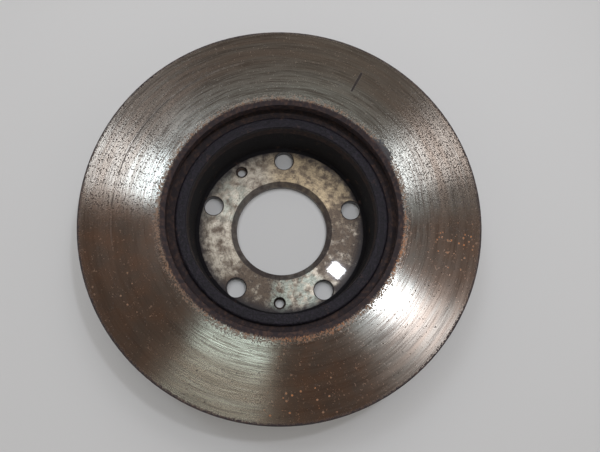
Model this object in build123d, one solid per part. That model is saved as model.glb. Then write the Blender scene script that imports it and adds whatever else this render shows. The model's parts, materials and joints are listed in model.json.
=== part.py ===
from build123d import *
import math
import os

# Ventilated brake disc rotor of the hat type, one iron casting machined where it works.
# Millimetres. The spin axis is Z. The origin is the centre of the hat's outboard face,
# which the wheel sits against, and +Z points inboard, towards the car's hub.
# The first stud hole lies on +Y.
# The casting is cut into its regions, which meet face to face on flat planes.

# ---- Driving dimensions ----
DISC_DIAMETER = 274.0
DISC_THICKNESS = 24.0              # over both friction faces
OVERALL_HEIGHT = 63.0              # outboard hat face to inboard friction face

INBOARD_PLATE_THICKNESS = 8.0
OUTBOARD_PLATE_THICKNESS = 8.0
FACE_EDGE_BEVEL = 1.0              # bevel round each friction face's outer edge
VENT_EDGE_ROUND = 0.6              # cast rounding of the rims on both sides of the vents

BOLT_CIRCLE_DIAMETER = 114.3
STUD_COUNT = 5
STUD_HOLE_DIAMETER = 14.8
STUD_HOLE_BEVEL = 0.5
FIRST_STUD_ANGLE = 90.0            # degrees from +X
STUD_TO_HAT_WALL = 10.15           # stud circle to the hat's inner wall: room for the hub flange

JACK_HOLE_DIAMETER = 8.0           # M8 x 1.25, major diameter of the thread
JACK_HOLE_BEVEL = 0.75
JACK_HOLE_PLACES = (0.5, 2.5)      # on the stud circle, in stud spacings from the first stud

PILOT_BORE_DIAMETER = 71.0
PILOT_LEAD_WIDTH = 4.0             # lead-in bevel on the hub's side, measured along the radius
PILOT_LEAD_DEPTH = 2.0
PILOT_EDGE_BEVEL = 0.8             # on the wheel's side

FLANGE_THICKNESS = 6.5             # at the machined hub seat
HUB_SEAT_RISE = 0.5                # the seat stands proud of the corner relief round it
CORNER_RELIEF = 0.5                # width of that relief at the seat's rim
HAT_WALL = 6.0
HAT_INNER_CORNER = 2.8
HAT_OUTER_CORNER = 3.5

MOUTH_LEDGE = 2.0                  # the hat's mouth ring stands out past the hat wall
MOUTH_RISE = 3.5                   # and up from the outboard plate
MOUTH_SHOULDER_ROUND = 2.0
MOUTH_LIP_ROUND = 1.0

AIR_INLET = 4.2                    # radial gap from the mouth ring to the inboard plate
INNER_BEVEL_WIDTH = 3.0            # inboard plate's inner edge, measured along the radius
INNER_BEVEL_DEPTH = 1.5
HEAT_GROOVE_WIDTH = 7.0            # outboard plate's groove beside the hat wall
HEAT_GROOVE_DEPTH = 2.0
HEAT_GROOVE_LEAD = 1.5             # slope from the groove's floor out to the friction face

VANE_COUNT = 40
VANE_THICKNESS = 6.0
VANE_INLET_SETBACK = 5.0           # behind the inboard plate's inner edge
VANE_RIM_SETBACK = 3.0             # inside the disc's rim

# ---- Derived sizes ----
DISC_RADIUS = DISC_DIAMETER / 2
STUD_CIRCLE_RADIUS = BOLT_CIRCLE_DIAMETER / 2
PILOT_RADIUS = PILOT_BORE_DIAMETER / 2
HAT_INNER_RADIUS = STUD_CIRCLE_RADIUS + STUD_TO_HAT_WALL
HAT_OUTER_RADIUS = HAT_INNER_RADIUS + HAT_WALL
MOUTH_OUTER_RADIUS = HAT_OUTER_RADIUS + MOUTH_LEDGE
INBOARD_INNER_RADIUS = MOUTH_OUTER_RADIUS + AIR_INLET
HUB_SEAT_RADIUS = HAT_INNER_RADIUS - HAT_INNER_CORNER - CORNER_RELIEF

FLANGE_SHOULDER_Z = FLANGE_THICKNESS - HUB_SEAT_RISE
OUTBOARD_FACE_Z = OVERALL_HEIGHT - DISC_THICKNESS
OUTBOARD_PLATE_TOP_Z = OUTBOARD_FACE_Z + OUTBOARD_PLATE_THICKNESS
INBOARD_PLATE_BOTTOM_Z = OVERALL_HEIGHT - INBOARD_PLATE_THICKNESS
MOUTH_TOP_Z = OUTBOARD_PLATE_TOP_Z + MOUTH_RISE


def turned(outline, rounds=()):
    """Revolve an (r, z) outline about Z, after rounding the listed (corner, radius) pairs."""
    with BuildPart() as body:
        with BuildSketch(Plane.XZ) as section:
            with BuildLine():
                Polyline(*outline, close=True)
            make_face()
            for corner, radius in rounds:
                fillet(section.vertices().sort_by_distance((*corner, 0))[0], radius)
        revolve(axis=Axis.Z)
    return body.part


def drilled_hole(angle, diameter, bevel):
    """A cutter for one hole through the flange on the stud circle, bevelled at both mouths."""
    wall = diameter / 2
    mouth = wall + bevel
    outline = [
        (0, 0),
        (mouth, 0),
        (wall, bevel),
        (wall, FLANGE_THICKNESS - bevel),
        (mouth, FLANGE_THICKNESS),
        (0, FLANGE_THICKNESS),
    ]
    return Rot(0, 0, angle) * Pos(STUD_CIRCLE_RADIUS, 0, 0) * turned(outline)


def mounting_flange():
    """The hat's flat end: wheel face below, hub seat above, pilot bore in the middle."""
    outline = [
        (PILOT_RADIUS + PILOT_EDGE_BEVEL, 0),
        (HAT_OUTER_RADIUS, 0),
        (HAT_OUTER_RADIUS, FLANGE_SHOULDER_Z),
        (HUB_SEAT_RADIUS, FLANGE_SHOULDER_Z),
        (HUB_SEAT_RADIUS, FLANGE_THICKNESS),
        (PILOT_RADIUS + PILOT_LEAD_WIDTH, FLANGE_THICKNESS),
        (PILOT_RADIUS, FLANGE_THICKNESS - PILOT_LEAD_DEPTH),
        (PILOT_RADIUS, PILOT_EDGE_BEVEL),
    ]
    flange = turned(outline, [((HAT_OUTER_RADIUS, 0), HAT_OUTER_CORNER)])
    stud_spacing = 360 / STUD_COUNT
    for stud in range(STUD_COUNT):
        angle = FIRST_STUD_ANGLE + stud * stud_spacing
        flange -= drilled_hole(angle, STUD_HOLE_DIAMETER, STUD_HOLE_BEVEL)
    for place in JACK_HOLE_PLACES:
        angle = FIRST_STUD_ANGLE + place * stud_spacing
        flange -= drilled_hole(angle, JACK_HOLE_DIAMETER, JACK_HOLE_BEVEL)
    return flange


def hat_wall():
    """The drum-like wall from the flange up to the outboard friction plate."""
    foot = HAT_INNER_RADIUS - HAT_INNER_CORNER
    corner_top = FLANGE_SHOULDER_Z + HAT_INNER_CORNER
    middle = HAT_INNER_CORNER * (1 - math.sqrt(0.5))
    with BuildPart() as wall:
        with BuildSketch(Plane.XZ):
            with BuildLine():
                ThreePointArc(
                    (foot, FLANGE_SHOULDER_Z),
                    (HAT_INNER_RADIUS - middle, FLANGE_SHOULDER_Z + middle),
                    (HAT_INNER_RADIUS, corner_top),
                )
                Polyline(
                    (HAT_INNER_RADIUS, corner_top),
                    (HAT_INNER_RADIUS, OUTBOARD_FACE_Z),
                    (HAT_OUTER_RADIUS, OUTBOARD_FACE_Z),
                    (HAT_OUTER_RADIUS, FLANGE_SHOULDER_Z),
                    (foot, FLANGE_SHOULDER_Z),
                )
            make_face()
        revolve(axis=Axis.Z)
    return wall.part


def outboard_friction_plate():
    """The plate that joins the hat; a groove beside the hat wall holds heat back from it."""
    groove_outer = HAT_OUTER_RADIUS + HEAT_GROOVE_WIDTH
    groove_floor = OUTBOARD_FACE_Z + HEAT_GROOVE_DEPTH
    outline = [
        (HAT_INNER_RADIUS, OUTBOARD_FACE_Z),
        (HAT_OUTER_RADIUS, OUTBOARD_FACE_Z),
        (HAT_OUTER_RADIUS, groove_floor),
        (groove_outer, groove_floor),
        (groove_outer + HEAT_GROOVE_LEAD, OUTBOARD_FACE_Z),
        (DISC_RADIUS - FACE_EDGE_BEVEL, OUTBOARD_FACE_Z),
        (DISC_RADIUS, OUTBOARD_FACE_Z + FACE_EDGE_BEVEL),
        (DISC_RADIUS, OUTBOARD_PLATE_TOP_Z),
        (HAT_INNER_RADIUS, OUTBOARD_PLATE_TOP_Z),
    ]
    return turned(outline, [((DISC_RADIUS, OUTBOARD_PLATE_TOP_Z), VENT_EDGE_ROUND)])


def hat_mouth_ring():
    """The raised cast rim round the hat's open end."""
    outline = [
        (HAT_INNER_RADIUS, OUTBOARD_PLATE_TOP_Z),
        (MOUTH_OUTER_RADIUS, OUTBOARD_PLATE_TOP_Z),
        (MOUTH_OUTER_RADIUS, MOUTH_TOP_Z),
        (HAT_INNER_RADIUS, MOUTH_TOP_Z),
    ]
    rounds = [
        ((MOUTH_OUTER_RADIUS, MOUTH_TOP_Z), MOUTH_SHOULDER_ROUND),
        ((HAT_INNER_RADIUS, MOUTH_TOP_Z), MOUTH_LIP_ROUND),
    ]
    return turned(outline, rounds)


def inboard_friction_plate():
    """The open plate, carried on the vanes alone, with the air inlet inside it."""
    outline = [
        (INBOARD_INNER_RADIUS, INBOARD_PLATE_BOTTOM_Z),
        (DISC_RADIUS, INBOARD_PLATE_BOTTOM_Z),
        (DISC_RADIUS, OVERALL_HEIGHT - FACE_EDGE_BEVEL),
        (DISC_RADIUS - FACE_EDGE_BEVEL, OVERALL_HEIGHT),
        (INBOARD_INNER_RADIUS + INNER_BEVEL_WIDTH, OVERALL_HEIGHT),
        (INBOARD_INNER_RADIUS, OVERALL_HEIGHT - INNER_BEVEL_DEPTH),
    ]
    return turned(outline, [((DISC_RADIUS, INBOARD_PLATE_BOTTOM_Z), VENT_EDGE_ROUND)])


def cooling_vane(angle):
    """One straight radial wall between the plates, round at both ends."""
    inner = INBOARD_INNER_RADIUS + VANE_INLET_SETBACK
    outer = DISC_RADIUS - VANE_RIM_SETBACK
    height = INBOARD_PLATE_BOTTOM_Z - OUTBOARD_PLATE_TOP_Z
    base = Plane.XY.offset(OUTBOARD_PLATE_TOP_Z)
    with BuildPart() as vane:
        with BuildSketch(base):
            with Locations(((inner + outer) / 2, 0)):
                SlotOverall(outer - inner, VANE_THICKNESS)
        extrude(amount=height)
    return Rot(0, 0, angle) * vane.part


def assembly():
    """Every region of the casting, by node name."""
    nodes = {
        "mounting_flange": mounting_flange(),
        "hat_wall": hat_wall(),
        "outboard_friction_plate": outboard_friction_plate(),
        "hat_mouth_ring": hat_mouth_ring(),
        "inboard_friction_plate": inboard_friction_plate(),
    }
    for index in range(VANE_COUNT):
        angle = FIRST_STUD_ANGLE + (index + 0.5) * 360 / VANE_COUNT
        nodes[f"cooling_vane_{index + 1:02d}"] = cooling_vane(angle)
    return nodes


os.makedirs("parts", exist_ok=True)
for node, solid in assembly().items():
    solid.label = node
    export_step(solid, f"parts/{node}.step")
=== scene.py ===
# Looks of a used ventilated brake disc: turned and worn iron faces, rough casting skin, rust,
# and the cut threads of its two jacking holes, on a pale studio floor.
import json
import math

import bmesh
import bpy
from mathutils import Matrix, Vector


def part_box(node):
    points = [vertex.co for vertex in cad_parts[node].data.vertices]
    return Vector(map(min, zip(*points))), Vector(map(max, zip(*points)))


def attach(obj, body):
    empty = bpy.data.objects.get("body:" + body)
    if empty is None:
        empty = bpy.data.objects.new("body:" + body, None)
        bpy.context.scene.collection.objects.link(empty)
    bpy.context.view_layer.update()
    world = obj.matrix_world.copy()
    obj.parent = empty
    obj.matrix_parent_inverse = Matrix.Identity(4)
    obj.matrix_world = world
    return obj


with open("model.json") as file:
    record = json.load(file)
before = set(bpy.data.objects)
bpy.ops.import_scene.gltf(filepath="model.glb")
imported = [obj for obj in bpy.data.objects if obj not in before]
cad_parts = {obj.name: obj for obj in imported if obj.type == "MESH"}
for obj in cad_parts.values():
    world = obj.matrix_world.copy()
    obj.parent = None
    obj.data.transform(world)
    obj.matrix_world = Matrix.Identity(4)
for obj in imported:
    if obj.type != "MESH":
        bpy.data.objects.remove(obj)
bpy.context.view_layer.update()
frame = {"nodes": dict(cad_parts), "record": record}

bl_info = {
    "name": "Brake disc rotor",
    "version": (1, 0, 0),
    "blender": (4, 5, 0),
    "location": "View3D > Sidebar > Brake disc",
    "description": "Finishes the packed brake disc model and sets it on a studio floor",
    "category": "Object",
}

MM = 0.001
MOUNTS = {mount["name"]: mount for mount in frame["record"]["mounts"]}
VANES = sorted(name for name in frame["nodes"] if name.startswith("cooling_vane_"))


def node_size(node):
    """Outer radius, lowest and highest level of a CAD node, in millimetres."""
    low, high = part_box(node)
    return max(high.x, high.y) / MM, low.z / MM, high.z / MM


DISC_RADIUS, _, FACE_TOP = node_size("inboard_friction_plate")
_, OUTBOARD_LOW, _ = node_size("outboard_friction_plate")
MOUTH_RADIUS, _, _ = node_size("hat_mouth_ring")
HAT_WALL = 6.0                         # thickness of the hat's wall
HAT_INSIDE = node_size("hat_wall")[0] - HAT_WALL
PILOT_RADIUS = MOUNTS["pilot_bore"]["dims"]["r_mm"]
STUD_CIRCLE_RADIUS = MOUNTS["stud_holes"]["dims"]["pcd_mm"] / 2
STUD_HOLES = [(STUD_CIRCLE_RADIUS * math.cos(math.radians(angle)),
               STUD_CIRCLE_RADIUS * math.sin(math.radians(angle)),
               MOUNTS["stud_holes"]["dims"]["hole_r_mm"]) for angle in range(90, 450, 72)]
JACK_HOLES = [(mount["pos_m"][0] / MM, mount["pos_m"][1] / MM, mount["dims"]["r_mm"])
              for name, mount in sorted(MOUNTS.items()) if name.startswith("jack_thread_")]
AIR_INLET = 4.2                        # mouth ring to the inboard plate's inner edge
INNER_BEVEL = 3.0                      # width of that edge's bevel
SWEPT_INNER = MOUTH_RADIUS + AIR_INLET + INNER_BEVEL
FACE_BEVEL = 1.0
SWEPT_OUTER = DISC_RADIUS - FACE_BEVEL
SCORE_RADIUS = 114.5                   # of the ring scored by a hard grain in a pad
LEAD_IN = 3.8                          # width of the pilot bore's bevel
ONCE_ROUND = 6.3                       # length of a circle of radius 1, rounded
FLOOR_REACH = 4.0                      # metres from the middle to the floor's edge
FLOOR_DROP = 0.05                      # mm from the wheel seat down to the floor
STEPS_PER_TURN = 32                    # of a thread's screw
RIDGE_FOOT = 0.44                      # half the ridge's width at its foot, in pitches
RIDGE_CREST = 0.07                     # and at its crest


# ---------------------------------------------------------------- nodes

def linear(hex_colour):
    """Scene-linear RGBA of an sRGB hex colour."""
    channels = []
    for start in (1, 3, 5):
        value = int(hex_colour[start:start + 2], 16) / 255
        channels.append(value / 12.92 if value <= 0.04045 else ((value + 0.055) / 1.055) ** 2.4)
    return (*channels, 1.0)


def add(tree, kind, links=None, **settings):
    """Adds one node with its settings. Each of links is an input, by name or number, and what it
    gets: a number, a colour, or a node or socket to link from. Returns the node."""
    node = tree.nodes.new(kind)
    for name, value in settings.items():
        setattr(node, name, value)
    for key, value in (links or {}).items():
        socket = node.inputs[key] if isinstance(key, int) else next(
            s for s in node.inputs if s.enabled and s.name == key)
        if isinstance(value, bpy.types.Node):
            value = next(s for s in value.outputs if s.enabled)
        if isinstance(value, bpy.types.NodeSocket):
            tree.links.new(value, socket)
        else:
            socket.default_value = value
    return node


def new_material(name):
    """A material with an empty node tree, and that tree."""
    material = bpy.data.materials.new(name)
    material.use_nodes = True
    material.node_tree.nodes.clear()
    return material, material.node_tree


class DiscPlace:
    """Where a point of the disc is: millimetres, radius, direction from the axis, and level."""

    def __init__(self, tree):
        self.tree = tree
        metres = add(tree, "ShaderNodeTexCoord").outputs["Object"]
        self.mm = add(tree, "ShaderNodeVectorMath", {0: metres, "Scale": 1 / MM}, operation="SCALE")
        self.flat = add(tree, "ShaderNodeVectorMath", {0: self.mm, 1: (1, 1, 0)},
                        operation="MULTIPLY")
        self.radius = add(tree, "ShaderNodeVectorMath", {0: self.flat}, operation="LENGTH")
        self.outward = add(tree, "ShaderNodeVectorMath", {0: self.flat}, operation="NORMALIZE")
        self.level = add(tree, "ShaderNodeSeparateXYZ", {0: self.mm}).outputs["Z"]

    def along_turning(self, spacing, count, seed=0.0):
        """A place in the turned surface: 1 for each spacing in mm outwards, and count round it."""
        tree = self.tree
        around = add(tree, "ShaderNodeVectorMath", {0: self.outward, "Scale": count / ONCE_ROUND},
                     operation="SCALE")
        across = add(tree, "ShaderNodeMath", {0: self.radius, 1: 1 / spacing, 2: seed},
                     operation="MULTIPLY_ADD")
        raised = add(tree, "ShaderNodeCombineXYZ", {"Z": across})
        return add(tree, "ShaderNodeVectorMath", {0: around, 1: raised}, operation="ADD")

    def turning_marks(self, spacing, count, detail, seed=0.0):
        """Streaks left by lathe and pads: spacing in mm across them, and count round the disc."""
        along = self.along_turning(spacing, count, seed)
        return add(self.tree, "ShaderNodeTexNoise", {"Vector": along, "Scale": 1.0,
                                                     "Detail": detail, "Roughness": 0.6})

    def specks(self, spacing, count, share, radius, seed):
        """Separate specks, laid out as along_turning says. Share is how many of them are there,
        and radius their size in spacings."""
        tree = self.tree
        cells = add(tree, "ShaderNodeTexVoronoi", {
            "Vector": self.along_turning(spacing, count, seed), "Scale": 1.0})
        dot = add(tree, "ShaderNodeMapRange", {"Value": cells.outputs["Distance"],
                                               "From Min": radius, "From Max": radius * 0.7})
        lot = add(tree, "ShaderNodeSeparateXYZ", {0: cells.outputs["Color"]}).outputs["X"]
        lot = add(tree, "ShaderNodeMath", {0: lot, 1: share}, operation="ADD")
        there = add(tree, "ShaderNodeMath", {0: lot, 1: 1.0}, operation="GREATER_THAN")
        return add(tree, "ShaderNodeMath", {0: dot, 1: there}, operation="MULTIPLY")

    def spots(self, size, low, high, seed, detail=3.0, more=None, reach=0.0):
        """Ragged spots of a size in mm, from none below low to full above high. Where more is 1
        they spread by reach."""
        tree = self.tree
        noise = add(tree, "ShaderNodeTexNoise", {"Vector": self.mm, "W": seed, "Scale": 1 / size,
                                                 "Detail": detail, "Roughness": 0.6},
                    noise_dimensions="4D")
        if more:
            noise = add(tree, "ShaderNodeMath", {0: more, 1: reach, 2: noise},
                        operation="MULTIPLY_ADD")
        return add(tree, "ShaderNodeMapRange", {"Value": noise, "From Min": low, "From Max": high},
                   interpolation_type="SMOOTHSTEP")

    def past_holes(self, holes):
        """Millimetres past the edge of the nearest hole. A hole is its x, y and radius in mm."""
        nearest = 1000.0
        for x, y, radius in holes:
            far = add(self.tree, "ShaderNodeVectorMath", {0: self.flat, 1: (x, y, 0)},
                      operation="DISTANCE")
            far = add(self.tree, "ShaderNodeMath", {0: far, 1: radius}, operation="SUBTRACT")
            nearest = add(self.tree, "ShaderNodeMath", {0: far, 1: nearest}, operation="MINIMUM")
        return nearest

    def sector(self, angle, half_width, soft, strength=1.0):
        """Strength within half_width degrees of an angle from +X, fading over soft degrees."""
        tree = self.tree
        middle = (math.cos(math.radians(angle)), math.sin(math.radians(angle)), 0)
        facing = add(tree, "ShaderNodeVectorMath", {0: self.outward, 1: middle},
                     operation="DOT_PRODUCT")
        return add(tree, "ShaderNodeMapRange", {
            "Value": facing, "From Min": math.cos(math.radians(half_width + soft)),
            "From Max": math.cos(math.radians(half_width)), "To Max": strength},
            interpolation_type="SMOOTHSTEP")

    def either(self, *masks):
        """The strongest of some masks."""
        strongest = masks[0]
        for mask in masks[1:]:
            strongest = add(self.tree, "ShaderNodeMath", {0: strongest, 1: mask},
                            operation="MAXIMUM")
        return strongest

    def ring(self, value, low, high, soft):
        """1 where value lies between low and high, fading over soft outside them."""
        tree = self.tree
        off = add(tree, "ShaderNodeMath", {0: value, 1: (low + high) / 2}, operation="SUBTRACT")
        off = add(tree, "ShaderNodeMath", {0: off}, operation="ABSOLUTE")
        half = (high - low) / 2
        return add(tree, "ShaderNodeMapRange", {"Value": off, "From Min": half + soft,
                                                "From Max": half},
                   interpolation_type="SMOOTHSTEP")


def dress(node, material):
    """Gives a CAD node one material, in every slot it has."""
    mesh = frame["nodes"][node].data
    if not mesh.materials:
        mesh.materials.append(material)
    for index in range(len(mesh.materials)):
        mesh.materials[index] = material


# ---------------------------------------------------------------- materials

def turned_iron(colours):
    """Grey cast iron, turned on a lathe and worn by brake pads. Its fine rings draw highlights
    out along the radius; pits, a brown film and rust show where it stood wet."""
    material, tree = new_material("turned_grey_iron")
    place = DiscPlace(tree)
    fine = place.turning_marks(0.6, 30, 3.0)   # real marks are 0.1 mm apart; drawn coarser to show
    wide = place.turning_marks(4.5, 10, 5.0, 50.0)

    # The swept faces lie between the bevels. The rest keeps a dark, rusty skin.
    upper = place.ring(place.level, FACE_TOP - 0.05, FACE_TOP + 1, 0.1)
    lower = place.ring(place.level, OUTBOARD_LOW - 1, OUTBOARD_LOW + 0.05, 0.1)
    crumbs = place.spots(1.0, 0.30, 0.70, 61.0)
    ragged = add(tree, "ShaderNodeMath", {0: crumbs, 1: -2.2, 2: place.radius},
                 operation="MULTIPLY_ADD")
    swept = place.ring(ragged, SWEPT_INNER + 0.1, SWEPT_OUTER - 2.2, 1.0)
    swept = add(tree, "ShaderNodeMath", {0: place.either(upper, lower), 1: swept},
                operation="MULTIPLY")

    # Bare iron near the hat turns brown towards the rim, more in some sectors and rings. Round 205
    # degrees the darker brown is partly painted shade, where the face reflects the dim room.
    browned = place.either(place.sector(205, 18, 16), place.sector(284, 6, 16),
                           place.sector(348, 4, 14, 0.8))
    film = add(tree, "ShaderNodeMapRange", {"Value": place.radius, "From Min": SWEPT_INNER + 3,
                                            "From Max": SWEPT_INNER + 30, "To Min": -0.40,
                                            "To Max": 0.30})
    film = add(tree, "ShaderNodeMath", {0: wide, 1: film}, operation="ADD")
    film = add(tree, "ShaderNodeMath", {0: browned, 1: 0.3, 2: film}, operation="MULTIPLY_ADD")
    film = add(tree, "ShaderNodeMapRange", {"Value": film, "From Min": 0.3, "From Max": 0.9})
    iron = add(tree, "ShaderNodeMix", {"Factor": film, "A": linear(colours.iron_clean_hex),
                                       "B": linear(colours.iron_film_hex)}, data_type="RGBA")
    streaks = add(tree, "ShaderNodeMath", {0: wide, 1: 0.35, 2: fine}, operation="MULTIPLY_ADD")
    streaks = add(tree, "ShaderNodeMapRange", {"Value": streaks, "From Min": 0.74,
                                               "From Max": 0.52, "To Max": 0.75},
                  interpolation_type="SMOOTHSTEP")
    iron = add(tree, "ShaderNodeMix", {"Factor": streaks, "A": iron,
                                       "B": linear(colours.iron_dark_hex)}, data_type="RGBA")
    # The darker brown of the sectors; round 205 degrees it is partly painted shade.
    burnt_and_shaded = add(tree, "ShaderNodeMath", {0: browned, 1: 0.65}, operation="MULTIPLY")
    iron = add(tree, "ShaderNodeMix", {"Factor": burnt_and_shaded, "A": iron,
                                       "B": linear(colours.iron_burnt_and_shaded_hex)}, data_type="RGBA")

    # The browned sectors have a soft orange blush.
    blush = add(tree, "ShaderNodeMath", {0: browned, 1: place.spots(13.0, 0.30, 0.85, 23.0, 8.0)},
                operation="MULTIPLY")
    blush = add(tree, "ShaderNodeMath", {0: blush, 1: 0.20}, operation="MULTIPLY")
    iron = add(tree, "ShaderNodeMix", {"Factor": blush, "A": iron,
                                       "B": linear(colours.rust_fresh_hex)}, data_type="RGBA")

    # Fine dark pits, dense in two sectors and at the inner edge, a broken score, a gouge, and a
    # frayed stain at the inner edge.
    wet = place.either(place.sector(20, 12, 18), place.sector(150, 12, 28, 0.8))
    inner = add(tree, "ShaderNodeMapRange", {"Value": place.radius, "From Min": SWEPT_INNER,
                                             "From Max": SWEPT_INNER + 8.0, "To Min": 1.0,
                                             "To Max": 0.0}, interpolation_type="SMOOTHSTEP")
    share = add(tree, "ShaderNodeMath", {0: wet, 1: 0.50, 2: 0.015}, operation="MULTIPLY_ADD")
    share = add(tree, "ShaderNodeMath", {0: inner, 1: 0.7, 2: share}, operation="MULTIPLY_ADD")
    pits = place.specks(0.95, 600, share, 0.46, 9.0)
    pits = place.either(pits, place.spots(0.7, 0.67, 0.75, 31.0, 2.0, wet, 0.08))
    pits = add(tree, "ShaderNodeMath", {0: pits, 1: 0.75}, operation="MULTIPLY")
    score = place.ring(place.radius, SCORE_RADIUS - 0.2, SCORE_RADIUS + 0.2, 0.3)
    score = add(tree, "ShaderNodeMath", {0: score, 1: place.sector(150, 40, 6)},
                operation="MULTIPLY")
    score = add(tree, "ShaderNodeMath", {0: score, 1: place.spots(5.0, 0.35, 0.75, 41.0)},
                operation="MULTIPLY")
    gouge = place.ring(place.radius, 103, 119, 1.0)
    gouge = add(tree, "ShaderNodeMath", {0: gouge, 1: place.sector(63, 0.35, 0.2)},
                operation="MULTIPLY")
    stain_edge = add(tree, "ShaderNodeMath", {0: place.sector(35, 0.5, 10), 1: 6.0,
                                              2: SWEPT_INNER - 3.0}, operation="MULTIPLY_ADD")
    frayed = add(tree, "ShaderNodeMath", {0: place.spots(1.8, 0.25, 0.75, 16.0, 4.0), 1: 5.0,
                                          2: stain_edge}, operation="MULTIPLY_ADD")
    stain = add(tree, "ShaderNodeMath", {0: frayed, 1: place.radius}, operation="SUBTRACT")
    stain = add(tree, "ShaderNodeMapRange", {"Value": stain, "From Min": 0.0, "From Max": 2.0,
                                             "To Max": 0.85}, interpolation_type="SMOOTHSTEP")
    marks = place.either(pits, score, gouge)
    iron = add(tree, "ShaderNodeMix", {"Factor": marks, "A": iron, "B": linear(colours.pit_hex)},
               data_type="RGBA")

    # Rust: a crumbly fringe at the inner edge, and freckles in three sectors.
    fringe = place.spots(1.2, 0.60, 0.80, 8.0, 5.0, inner, 0.20)
    freckled = place.either(place.sector(353, 4, 7), place.sector(212, 4, 8, 0.1),
                            place.sector(276, 5, 10, 0.2))
    share = add(tree, "ShaderNodeMath", {0: freckled, 1: 0.24}, operation="MULTIPLY")
    freckles = place.specks(1.7, 400, share, 0.42, 77.0)
    freckles = add(tree, "ShaderNodeMath", {0: freckles,
                                            1: place.ring(place.radius, 108, 130, 5.0)},
                   operation="MULTIPLY")
    fresh = place.either(place.sector(285, 14, 10), place.sector(342, 8, 10), freckled)
    fresh = add(tree, "ShaderNodeMath", {0: fresh, 1: place.spots(2.0, 0.35, 0.65, 4.0)},
                operation="MULTIPLY")
    rust_colour = add(tree, "ShaderNodeMix", {"Factor": fresh, "A": linear(colours.rust_dry_hex),
                                              "B": linear(colours.rust_fresh_hex)},
                      data_type="RGBA")
    rust = place.either(fringe, freckles)
    iron = add(tree, "ShaderNodeMix", {"Factor": rust, "A": iron, "B": rust_colour},
               data_type="RGBA")
    iron = add(tree, "ShaderNodeMix", {"Factor": stain, "A": iron,
                                       "B": linear(colours.stain_hex)}, data_type="RGBA")

    # Skin of what the pads never touch, with a browner crust on the rim.
    outer = add(tree, "ShaderNodeMath", {
        0: place.ring(place.radius, SWEPT_INNER + 5, DISC_RADIUS + 5, 3.0),
        1: place.ring(place.level, OUTBOARD_LOW + 1.5, FACE_TOP - 1.5, 0.5)}, operation="MULTIPLY")
    skin = add(tree, "ShaderNodeMix", {"Factor": place.spots(2.4, 0.42, 0.75, 4.0),
                                       "A": linear(colours.edge_hex),
                                       "B": linear(colours.rust_dark_hex)}, data_type="RGBA")
    crust = add(tree, "ShaderNodeMix", {"Factor": place.spots(3.0, 0.46, 0.90, 15.0, 6.0),
                                        "A": linear(colours.rust_dark_hex),
                                        "B": linear(colours.rust_dry_hex)}, data_type="RGBA")
    skin = add(tree, "ShaderNodeMix", {"Factor": outer, "A": skin, "B": crust},
               data_type="RGBA")
    colour = add(tree, "ShaderNodeMix", {"Factor": swept, "A": skin, "B": iron},
                 data_type="RGBA")

    unswept = add(tree, "ShaderNodeMath", {0: 1.0, 1: swept}, operation="SUBTRACT")
    dull = place.either(rust, marks, stain, unswept)
    metal = add(tree, "ShaderNodeMapRange", {"Value": dull, "To Min": 1.0, "To Max": 0.0})
    rough = add(tree, "ShaderNodeMapRange", {"Value": wide, "From Min": 0.3, "From Max": 0.7,
                                             "To Min": 0.18, "To Max": 0.24})
    rough = add(tree, "ShaderNodeMath", {0: dull, 1: 0.8, 2: rough}, operation="MULTIPLY_ADD")
    height = add(tree, "ShaderNodeMath", {0: marks, 1: -0.010}, operation="MULTIPLY")
    height = add(tree, "ShaderNodeMath", {0: fine, 1: 0.003, 2: height}, operation="MULTIPLY_ADD")
    height = add(tree, "ShaderNodeMath", {0: rust, 1: 0.03, 2: height}, operation="MULTIPLY_ADD")
    relief = add(tree, "ShaderNodeBump", {"Strength": 0.5, "Distance": MM, "Height": height})
    shader = add(tree, "ShaderNodeBsdfPrincipled", {
        "Base Color": colour, "Metallic": metal, "Roughness": rough, "Normal": relief,
        "Anisotropic": 1.0, "Tangent": place.outward})
    add(tree, "ShaderNodeOutputMaterial", {"Surface": shader})
    return material


def casting_skin(colours, name, rusted):
    """Sand-cast iron as it came from the mould: near black and grainy, with thin brown rust over
    a share of it, and painted shade, a near-black matt colour, inside the hat."""
    material, tree = new_material(name)
    place = DiscPlace(tree)
    grit = place.spots(1.2, 0.32, 0.68, 3.0, 4.0)    # sand is 0.3 mm; drawn coarser to show
    skin = add(tree, "ShaderNodeMix", {"Factor": grit, "A": linear(colours.skin_dark_hex),
                                       "B": linear(colours.skin_light_hex)}, data_type="RGBA")
    # Painted shade: the inside of the hat is coloured near black where its wall lies in shade.
    inside = add(tree, "ShaderNodeMath", {0: place.ring(place.radius, 0, HAT_INSIDE + 1, 1.0),
                                          1: place.ring(place.level, 0, OUTBOARD_LOW + 5, 4.0)},
                 operation="MULTIPLY")
    skin = add(tree, "ShaderNodeMix", {"Factor": inside, "A": skin,
                                       "B": linear(colours.hat_inside_shade_hex)}, data_type="RGBA")
    rust = place.spots(9.0, 0.62 - rusted, 0.80 - rusted, 12.0, 6.0, grit, 0.08)
    rust_colour = add(tree, "ShaderNodeMix", {
        "Factor": place.spots(2.0, 0.45, 0.75, 21.0), "A": linear(colours.rust_dark_hex),
        "B": linear(colours.rust_dry_hex)}, data_type="RGBA")
    colour = add(tree, "ShaderNodeMix", {"Factor": rust, "A": skin, "B": rust_colour},
                 data_type="RGBA")
    dull = place.either(rust, inside)
    metal = add(tree, "ShaderNodeMapRange", {"Value": dull, "To Min": 0.3, "To Max": 0.0})
    rough = add(tree, "ShaderNodeMapRange", {"Value": dull, "To Min": 0.55, "To Max": 0.9})
    relief = add(tree, "ShaderNodeBump", {"Strength": 0.3, "Distance": MM, "Height": grit})
    shader = add(tree, "ShaderNodeBsdfPrincipled", {
        "Base Color": colour, "Metallic": metal, "Roughness": rough, "Normal": relief})
    add(tree, "ShaderNodeOutputMaterial", {"Surface": shader})
    return material


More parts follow.
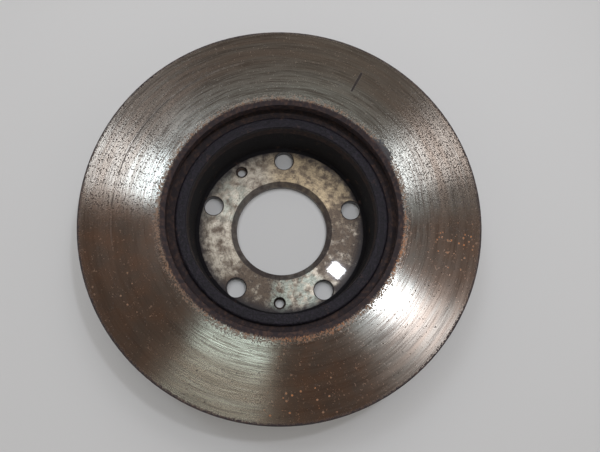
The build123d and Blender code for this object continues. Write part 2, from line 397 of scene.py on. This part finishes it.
def seat_iron(colours):
    """The hat's turned seats: dull silvery iron, with brown stains, pale tide marks where water
    dried round the holes and a pale painted highlight, under a thin film of dried oil that mirrors
    a lamp sharply."""
    material, tree = new_material("stained_turned_seat_iron")
    place = DiscPlace(tree)
    browned = place.either(place.sector(248, 16, 16), place.sector(350, 26, 16, 0.9))
    blotch = place.spots(5.0, 0.36, 0.68, 5.0, 8.0, browned, 0.16)
    golden = add(tree, "ShaderNodeMix", {"Factor": place.sector(55, 30, 30),
                                         "A": linear(colours.seat_light_hex),
                                         "B": linear(colours.seat_gold_hex)}, data_type="RGBA")
    seat = add(tree, "ShaderNodeMix", {"Factor": blotch, "A": golden,
                                       "B": linear(colours.seat_brown_hex)}, data_type="RGBA")
    # Pale tide marks round 286 degrees and round the holes are stains; the pale patch round 152
    # degrees is a painted highlight where a lamp's sheen falls.
    tide_and_sheen = place.either(place.sector(286, 18, 10), place.sector(152, 12, 14, 0.6))
    tide_and_sheen = add(tree, "ShaderNodeMath", {0: tide_and_sheen, 1: place.spots(7.0, 0.42, 0.58, 14.0, 4.0)},
               operation="MULTIPLY")
    halo = add(tree, "ShaderNodeMath", {0: blotch, 1: 2.0, 2: place.past_holes(JACK_HOLES)},
               operation="MULTIPLY_ADD")
    halo = add(tree, "ShaderNodeMath", {0: place.ring(halo, 0.0, 4.5, 0.6),
                                        1: place.sector(270, 20, 20)}, operation="MULTIPLY")
    tide_and_sheen = place.either(tide_and_sheen, halo)
    seat = add(tree, "ShaderNodeMix", {"Factor": tide_and_sheen, "A": seat,
                                       "B": linear(colours.seat_pale_hex)}, data_type="RGBA")
    rubbed = add(tree, "ShaderNodeMapRange", {"Value": place.turning_marks(0.8, 40, 3.0, 5.0),
                                              "From Min": 0.40, "From Max": 0.62, "To Max": 0.35})
    speckle = place.either(place.spots(1.0, 0.50, 0.74, 9.0, 3.0, browned, 0.06), rubbed)
    seat = add(tree, "ShaderNodeMix", {"Factor": speckle, "A": seat,
                                       "B": linear(colours.seat_dark_hex)}, data_type="RGBA")

    # Painted shade darkens the corner under the hat wall, where the wall shades the seat.
    # The pilot bore's bevel, the holes and their edges are darkened too.
    corner_shade = add(tree, "ShaderNodeMath", {0: blotch, 1: 3.0, 2: place.radius},
                 operation="MULTIPLY_ADD")
    corner_shade = add(tree, "ShaderNodeMapRange", {"Value": corner_shade, "From Min": 57.0, "From Max": 68.0},
                 interpolation_type="SMOOTHSTEP")
    lead_in = add(tree, "ShaderNodeMapRange", {
        "Value": place.radius, "From Min": PILOT_RADIUS + LEAD_IN + 0.5,
        "From Max": PILOT_RADIUS + LEAD_IN, "To Max": 0.8})
    rim = add(tree, "ShaderNodeMapRange", {"Value": place.past_holes(STUD_HOLES + JACK_HOLES),
                                           "From Min": 1.1, "From Max": 0.3})
    shade_and_dark_edges = place.either(corner_shade, lead_in, rim)
    # Painted shade in the corner, and the darker bevel, holes and hole edges.
    colour = add(tree, "ShaderNodeMix", {"Factor": shade_and_dark_edges, "A": seat, "B": linear(colours.edge_hex)},
                 data_type="RGBA")
    dull = place.either(shade_and_dark_edges, speckle)
    metal = add(tree, "ShaderNodeMapRange", {"Value": dull, "To Min": 0.75, "To Max": 0.15})
    rough = add(tree, "ShaderNodeMapRange", {"Value": place.either(dull, blotch), "To Min": 0.34,
                                             "To Max": 0.50})
    relief = add(tree, "ShaderNodeBump", {"Strength": 0.02, "Distance": MM, "Height": speckle})
    shader = add(tree, "ShaderNodeBsdfPrincipled", {
        "Base Color": colour, "Metallic": metal, "Roughness": rough, "Normal": relief,
        "Anisotropic": 0.5, "Tangent": place.outward, "Coat Weight": 0.3, "Coat Roughness": 0.04})
    add(tree, "ShaderNodeOutputMaterial", {"Surface": shader})
    return material


def cut_thread_iron(colours):
    """Threads cut by a tap: bright iron, with dark grease and rust dust over a share of it."""
    material, tree = new_material("tapped_iron_thread")
    place = DiscPlace(tree)
    dust = place.spots(0.7, 0.40, 0.70, 19.0)
    colour = add(tree, "ShaderNodeMix", {"Factor": dust, "A": linear(colours.iron_dark_hex),
                                         "B": linear(colours.rust_dark_hex)}, data_type="RGBA")
    metal = add(tree, "ShaderNodeMapRange", {"Value": dust, "To Min": 0.9, "To Max": 0.2})
    rough = add(tree, "ShaderNodeMapRange", {"Value": dust, "To Min": 0.32, "To Max": 0.75})
    relief = add(tree, "ShaderNodeBump", {"Strength": 0.1, "Distance": MM, "Height": dust})
    shader = add(tree, "ShaderNodeBsdfPrincipled", {
        "Base Color": colour, "Metallic": metal, "Roughness": rough, "Normal": relief})
    add(tree, "ShaderNodeOutputMaterial", {"Surface": shader})
    return material


# ---------------------------------------------------------------- settings

def colour_setting(name, description, default):
    """A colour that the user can change, written as sRGB hex."""
    return bpy.props.StringProperty(name=name, description=description, default=default)


class RotorColours(bpy.types.PropertyGroup):
    iron_clean_hex: colour_setting("Iron, clean", "Swept face near the hat", "#A2A29C")
    iron_film_hex: colour_setting("Iron, filmed", "Swept face towards the rim", "#85796F")
    iron_dark_hex: colour_setting("Iron, dark", "Dark rings of the swept face", "#5F554E")
    # Darker brown of the swept face's sectors, partly painted shade round 205 degrees.
    iron_burnt_and_shaded_hex: colour_setting("Iron, burnt", "Brown sectors of the swept face", "#5B4C43")
    pit_hex: colour_setting("Pits", "Dark pits in the swept face", "#28201E")
    stain_hex: colour_setting("Stain", "Blue-black stain at the swept face's inner edge", "#2B2C33")
    edge_hex: colour_setting("Edges", "Skin of bevels and unswept edges", "#231A1D")
    rust_dark_hex: colour_setting("Rust, dark", "Old brown rust", "#4C372E")
    rust_dry_hex: colour_setting("Rust, dry", "Pale brown rust", "#7F634E")
    rust_fresh_hex: colour_setting("Rust, fresh", "Fresh orange rust", "#AD6E3F")
    skin_dark_hex: colour_setting("Casting skin, dark", "Hollows of the cast skin", "#0A080D")
    skin_light_hex: colour_setting("Casting skin, light", "Grains of the cast skin", "#231D27")
    # Painted shade: near black inside the hat, where its wall lies in shade.
    hat_inside_shade_hex: colour_setting("Soot", "Brake dust baked on inside the hat", "#0B080D")
    seat_light_hex: colour_setting("Seat, light", "Bare iron of the hub seat", "#C6BBAA")
    seat_gold_hex: colour_setting("Seat, golden", "Warm varnish on the hub seat", "#C9B391")
    # Pale colour of the tide marks, and of a painted highlight round 152 degrees.
    seat_pale_hex: colour_setting("Seat, pale", "Pale tide marks on the hub seat", "#A9AEA2")
    seat_brown_hex: colour_setting("Seat, stained", "Water stains on the hub seat", "#6E5F52")
    seat_dark_hex: colour_setting("Seat, dark", "Dark specks on the hub seat", "#40352F")


class RotorThread(bpy.types.PropertyGroup):
    pitch: bpy.props.FloatProperty(
        name="Pitch", description="Pitch of the jacking holes' thread", default=1.25 * MM,
        min=0.5 * MM, unit="LENGTH", subtype="DISTANCE")
    depth: bpy.props.FloatProperty(
        name="Depth", description="Height of the thread's ridge", default=0.68 * MM,
        min=0.1 * MM, unit="LENGTH", subtype="DISTANCE")


class RotorStudio(bpy.types.PropertyGroup):
    lamp_power: bpy.props.FloatProperty(
        name="Lamp power", description="Scales every softbox", default=1.0, min=0.0)
    ceiling_light: bpy.props.FloatProperty(
        name="Ceiling light", description="Strength of the room's dim ceiling", default=0.31,
        min=0.0)
    wall_light: bpy.props.FloatProperty(
        name="Wall light", description="Strength of the room's pale walls", default=0.7, min=0.0)
    floor_hex: bpy.props.StringProperty(
        name="Floor", description="Colour of the studio floor", default="#CDCCCB")


# ---------------------------------------------------------------- operators

class ROTOR_OT_finish_friction_plates(bpy.types.Operator):
    """Give both friction plates their turned, worn and rusted iron"""
    bl_idname = "rotor.finish_friction_plates"
    bl_label = "Finish friction plates"

    def execute(self, context):
        material = turned_iron(context.scene.rotor_colours)
        for node in ("inboard_friction_plate", "outboard_friction_plate"):
            dress(node, material)
        return {"FINISHED"}


class ROTOR_OT_finish_hat(bpy.types.Operator):
    """Give the hat its cast skin and its turned, stained flange"""
    bl_idname = "rotor.finish_hat"
    bl_label = "Finish hat"

    def execute(self, context):
        skin = casting_skin(context.scene.rotor_colours, "sand_cast_iron_skin", 0.0)
        for node in ("hat_wall", "hat_mouth_ring"):
            dress(node, skin)
        dress("mounting_flange", seat_iron(context.scene.rotor_colours))
        return {"FINISHED"}


class ROTOR_OT_finish_vanes(bpy.types.Operator):
    """Give the cooling vanes their rusty cast skin"""
    bl_idname = "rotor.finish_vanes"
    bl_label = "Finish cooling vanes"

    def execute(self, context):
        skin = casting_skin(context.scene.rotor_colours, "rusted_cast_iron_skin", 0.16)
        for node in VANES:
            dress(node, skin)
        return {"FINISHED"}


class ROTOR_OT_cut_threads(bpy.types.Operator):
    """Cut the screw thread into both jacking holes of the flange"""
    bl_idname = "rotor.cut_threads"
    bl_label = "Cut jacking threads"

    def execute(self, context):
        thread = context.scene.rotor_thread
        material = cut_thread_iron(context.scene.rotor_colours)
        for index in (1, 2):
            mount = MOUNTS[f"jack_thread_{index}"]
            ridge = thread_ridge(f"jack_thread_ridge_{index}", Vector(mount["pos_m"]),
                                 mount["dims"]["r_mm"] * MM, mount["dims"]["length_mm"] * MM,
                                 thread)
            ridge.materials.append(material)
            piece = bpy.data.objects.new(ridge.name, ridge)
            context.scene.collection.objects.link(piece)
            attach(piece, "root")
        return {"FINISHED"}


def thread_ridge(name, middle, radius, length, thread):
    """Mesh of one thread's ridge, a flat-topped screw standing in from a hole's wall."""
    turns = (length - thread.pitch) / thread.pitch
    steps = round(turns * STEPS_PER_TURN)
    start = middle.z - length / 2 + thread.pitch / 2
    foot = thread.pitch * RIDGE_FOOT
    crest = thread.pitch * RIDGE_CREST
    inner = radius - thread.depth
    form = bmesh.new()
    section = [form.verts.new((middle.x + x, middle.y, start + z))
               for x, z in ((radius, -foot), (inner, -crest), (inner, crest), (radius, foot))]
    face = form.faces.new(section)
    bmesh.ops.spin(form, geom=[face, *face.edges, *face.verts], cent=(middle.x, middle.y, 0),
                   axis=(0, 0, 1), dvec=(0, 0, thread.pitch / STEPS_PER_TURN),
                   angle=math.tau * steps / STEPS_PER_TURN, steps=steps, use_merge=False)
    bmesh.ops.recalc_face_normals(form, faces=form.faces)
    mesh = bpy.data.meshes.new(name)
    form.to_mesh(mesh)
    form.free()
    return mesh


class ROTOR_OT_set_stage(bpy.types.Operator):
    """Set up the floor, the soft lamps, the room light and the camera"""
    bl_idname = "rotor.set_stage"
    bl_label = "Set stage"

    def execute(self, context):
        studio = context.scene.rotor_studio
        make_floor(studio)
        make_lamps(studio)
        make_room(context.scene, studio)
        make_camera(context.scene)
        context.scene.view_settings.view_transform = "Standard"
        return {"FINISHED"}


def make_floor(studio):
    """A plain pale floor just under the disc, which is clear from below to show the wheel side."""
    mesh = bpy.data.meshes.new("floor")
    form = bmesh.new()
    bmesh.ops.create_grid(form, x_segments=1, y_segments=1, size=FLOOR_REACH,
                          matrix=Matrix.Translation((0, 0, -FLOOR_DROP * MM)))
    form.to_mesh(mesh)
    form.free()
    floor = bpy.data.objects.new("floor", mesh)
    bpy.context.scene.collection.objects.link(floor)
    material, tree = new_material("matt_floor_paint")
    shader = add(tree, "ShaderNodeBsdfPrincipled", {"Base Color": linear(studio.floor_hex),
                                                    "Roughness": 0.75})
    below = add(tree, "ShaderNodeNewGeometry").outputs["Backfacing"]
    clear = add(tree, "ShaderNodeBsdfTransparent")
    surface = add(tree, "ShaderNodeMixShader", {0: below, 1: shader, 2: clear})
    add(tree, "ShaderNodeOutputMaterial", {"Surface": surface})
    mesh.materials.append(material)


# name, azimuth from +X, elevation, distance (m), breadth across and along its highlight (m),
# the highlight's azimuth on the disc, power (W), colour, whether bare metal reflects it
LAMPS = (
    ("softbox_right", 24.8, 77.5, 0.594, 0.024, 0.028, 321.0, 0.60, "#F1F6FF", True),
    ("softbox_back_right", 50.0, 64.0, 1.2, 0.13, 0.20, 19.0, 0.82, "#EFF3FA", True),
    ("softbox_back_left", 134.0, 66.0, 1.2, 0.13, 0.20, 164.0, 1.12, "#E9F4FF", True),
    ("softbox_overhead", 214.0, 84.0, 1.2, 0.20, 0.10, 252.0, 0.53, "#E6F5EE", True),
    ("softbox_fill", 88.0, 70.0, 0.9, 0.80, 0.80, 90.0, 3.4, "#FBFCFF", False),
)


def make_lamps(studio):
    """Softboxes aimed at the middle of the upper friction face."""
    target = Vector((0, 0, FACE_TOP * MM))
    for name, azimuth, elevation, distance, breadth, reach, band, power, colour, shows in LAMPS:
        lamp = bpy.data.lights.new(name, "AREA")
        lamp.shape = "RECTANGLE"
        lamp.size = breadth
        lamp.size_y = reach
        lamp.energy = power * studio.lamp_power
        lamp.color = linear(colour)[:3]
        level = math.radians(elevation)
        turn = math.radians(azimuth)
        way = Vector((math.cos(turn) * math.cos(level), math.sin(turn) * math.cos(level),
                      math.sin(level)))
        along = Vector((math.cos(math.radians(band)), math.sin(math.radians(band)), 0))
        across = along.cross(way).normalized()
        along = way.cross(across)
        holder = bpy.data.objects.new(name, lamp)
        holder.matrix_world = Matrix.Translation(target + way * distance) @ Matrix(
            (across, along, way)).transposed().to_4x4()
        holder.visible_glossy = shows
        bpy.context.scene.collection.objects.link(holder)


def make_room(scene, studio):
    """A room with pale walls, which light the floor, and a dimmer ceiling, which the bare iron
    reflects."""
    world = bpy.data.worlds.new("studio_room")
    scene.world = world
    world.use_nodes = True
    tree = world.node_tree
    tree.nodes.clear()
    way = add(tree, "ShaderNodeTexCoord").outputs["Generated"]
    up = add(tree, "ShaderNodeSeparateXYZ", {0: way}).outputs["Z"]
    ceiling = add(tree, "ShaderNodeMapRange", {"Value": up, "From Min": 0.42, "From Max": 0.70},
                  interpolation_type="SMOOTHSTEP")
    colour = add(tree, "ShaderNodeMix", {"Factor": ceiling, "A": linear("#F4F5F7"),
                                         "B": linear("#FFF6EE")}, data_type="RGBA")
    strength = add(tree, "ShaderNodeMapRange", {"Value": ceiling, "To Min": studio.wall_light,
                                                "To Max": studio.ceiling_light})
    room = add(tree, "ShaderNodeBackground", {"Color": colour, "Strength": strength})
    add(tree, "ShaderNodeOutputWorld", {"Surface": room})


# The camera looks down at the disc's upper face from a little on the near side.
CAMERA_TURN = 1.83                     # degrees; the first stud hole is this far off the frame's up
CAMERA_TILT = 12.317
CAMERA_ROLL = -2.721
CAMERA_PLACE = (-4.9, -82.9, 337.2)    # mm from the upper face's centre, before the turn
CAMERA_LENS = 30.72                    # mm, on a sensor 36 mm wide


def make_camera(scene):
    """A camera at the viewing angle in which the disc is usually shown, from above."""
    camera = bpy.data.cameras.new("camera")
    camera.sensor_width = 36.0
    camera.lens = CAMERA_LENS
    camera.clip_start = 0.01
    holder = bpy.data.objects.new("camera", camera)
    holder.rotation_mode = "YXZ"
    holder.rotation_euler = [math.radians(a) for a in (CAMERA_TILT, CAMERA_ROLL, CAMERA_TURN)]
    place = Matrix.Rotation(math.radians(CAMERA_TURN), 3, "Z") @ Vector(CAMERA_PLACE)
    holder.location = (place + Vector((0, 0, FACE_TOP))) * MM
    scene.collection.objects.link(holder)
    scene.camera = holder


class ROTOR_PT_panel(bpy.types.Panel):
    bl_label = "Brake disc rotor"
    bl_idname = "ROTOR_PT_panel"
    bl_space_type = "VIEW_3D"
    bl_region_type = "UI"
    bl_category = "Brake disc"

    def draw(self, context):
        layout = self.layout
        for group in GROUPS:
            settings = getattr(context.scene, group)
            box = layout.box()
            for name in settings.__annotations__:
                box.prop(settings, name)
        for operator in STEPS:
            layout.operator(operator.bl_idname)


GROUPS = {"rotor_colours": RotorColours, "rotor_thread": RotorThread, "rotor_studio": RotorStudio}
STEPS = (ROTOR_OT_finish_friction_plates, ROTOR_OT_finish_hat, ROTOR_OT_finish_vanes,
         ROTOR_OT_cut_threads, ROTOR_OT_set_stage)


def register():
    for name, group in GROUPS.items():
        bpy.utils.register_class(group)
        setattr(bpy.types.Scene, name, bpy.props.PointerProperty(type=group))
    for step in STEPS:
        bpy.utils.register_class(step)
    bpy.utils.register_class(ROTOR_PT_panel)


def unregister():
    bpy.utils.unregister_class(ROTOR_PT_panel)
    for step in reversed(STEPS):
        bpy.utils.unregister_class(step)
    for name, group in GROUPS.items():
        delattr(bpy.types.Scene, name)
        bpy.utils.unregister_class(group)


def main():
    register()
    bpy.ops.rotor.finish_friction_plates()
    bpy.ops.rotor.finish_hat()
    bpy.ops.rotor.finish_vanes()
    bpy.ops.rotor.cut_threads()
    bpy.ops.rotor.set_stage()


if __name__ == "__main__":
    main()
